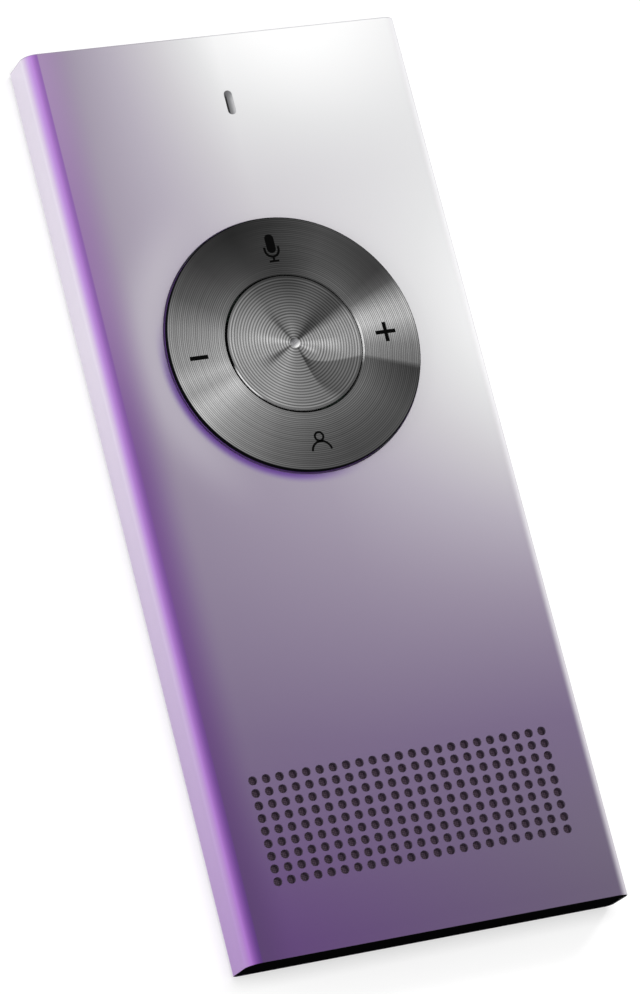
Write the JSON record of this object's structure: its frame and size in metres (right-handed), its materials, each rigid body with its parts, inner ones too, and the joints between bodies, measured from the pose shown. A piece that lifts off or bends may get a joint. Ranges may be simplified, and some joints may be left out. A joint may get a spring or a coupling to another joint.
{
  "type": "handheld translator",
  "caption": "Slim handheld translator: an aluminium sleeve with a rocking control ring, a centre press button, a light slot and a drilled loudspeaker grille.",
  "frame": {"origin": "middle of the flat back face", "axes": "+Z out of the front face, +Y along the length from the loudspeaker end to the microphone end, +X across to the right"},
  "size_m": [0.055, 0.126, 0.0081],
  "materials": {
    "lilac_aluminium": "fine bead-blasted, anodised, silver fading to lilac",
    "turned_aluminium": "dark anodised, turned in fine rings",
    "black_moulding": "fine texture",
    "grey_moulding": "glass-filled, satin",
    "board_green": "solder mask",
    "chip_black": "moulded package",
    "steel": "stamped sheet",
    "pouch_foil": "laminated pouch",
    "gold_lid": "plated lid",
    "light_diffuser": "milky, translucent",
    "lamp_package": "clear moulding",
    "speaker_film": "pressed film",
    "copper_winding": "enamelled wire",
    "black_foam": "open-cell foam",
    "black_cloth": "woven acoustic mesh",
    "soft_rubber": "moulded silicone",
    "thermal_rubber": "filled silicone",
    "lead_red": "insulation",
    "lead_black": "insulation",
    "plug_white": "moulded nylon",
    "tape_white": "adhesive"
  },
  "bodies": {
    "casing": {"sleeve": "lilac_aluminium", "top_cap": "black_moulding", "bottom_cap": "black_moulding", "chassis": "grey_moulding", "main_board": "board_green", "processor": "chip_black", "memory_chip": "chip_black", "power_chip": "chip_black", "audio_chip": "chip_black", "radio_chip": "chip_black", "power_coil": "chip_black", "thermal_pad": "thermal_rubber", "radio_shield": "steel", "antenna": "board_green", "port_shell": "steel", "port_tongue": "black_moulding", "microphone": "gold_lid", "microphone_boot": "soft_rubber", "indicator_led": "lamp_package", "light_guide": "light_diffuser", "centre_dome": "steel", "talk_domes": "steel", "volume_domes": "steel", "key_frame": "grey_moulding", "button_guide": "grey_moulding", "battery_cell": "pouch_foil", "battery_tape": "tape_white", "battery_foam": "black_foam", "safety_board": "board_green", "battery_plug": "plug_white", "speaker_plug": "plug_white", "battery_lead_red": "lead_red", "battery_lead_black": "lead_black", "dust_mesh": "black_cloth", "speaker_gasket": "black_foam", "speaker_basket": "black_moulding", "speaker_cone": "speaker_film", "voice_coil": "copper_winding", "speaker_yoke": "steel", "speaker_magnet": "steel", "speaker_pole": "steel", "speaker_lead_red": "lead_red", "speaker_lead_black": "lead_black", "key_frame_screws": "steel", "board_screws": "steel", "speaker_screws": "steel"},
    "gimbal": {"gimbal_washer": "steel"},
    "control_ring": {"ring_carrier": "grey_moulding", "ring_rim": "black_moulding", "ring_cap": "turned_aluminium"},
    "centre_button": {"button_plunger": "black_moulding", "button_cap": "turned_aluminium"}
  },
  "joints": [
    {"name": "volume_tilt", "type": "hinge", "parent": "casing", "child": "gimbal", "pos_m": [0, 0.01795, 0.00491], "axis": [0, 1, 0], "range_deg": [-0.8, 0.8], "stiffness_Nm_per_rad": 2, "deforming": ["volume_domes"]},
    {"name": "talk_tilt", "type": "hinge", "parent": "gimbal", "child": "control_ring", "pos_m": [0, 0.01795, 0.00491], "axis": [1, 0, 0], "range_deg": [-0.8, 0.8], "stiffness_Nm_per_rad": 2, "deforming": ["talk_domes"]},
    {"name": "centre_press", "type": "slide", "parent": "casing", "child": "centre_button", "axis": [0, 0, -1], "range_m": [0, 0.00025], "stiffness_N_per_m": 6000, "deforming": ["centre_dome"]}
  ]
}
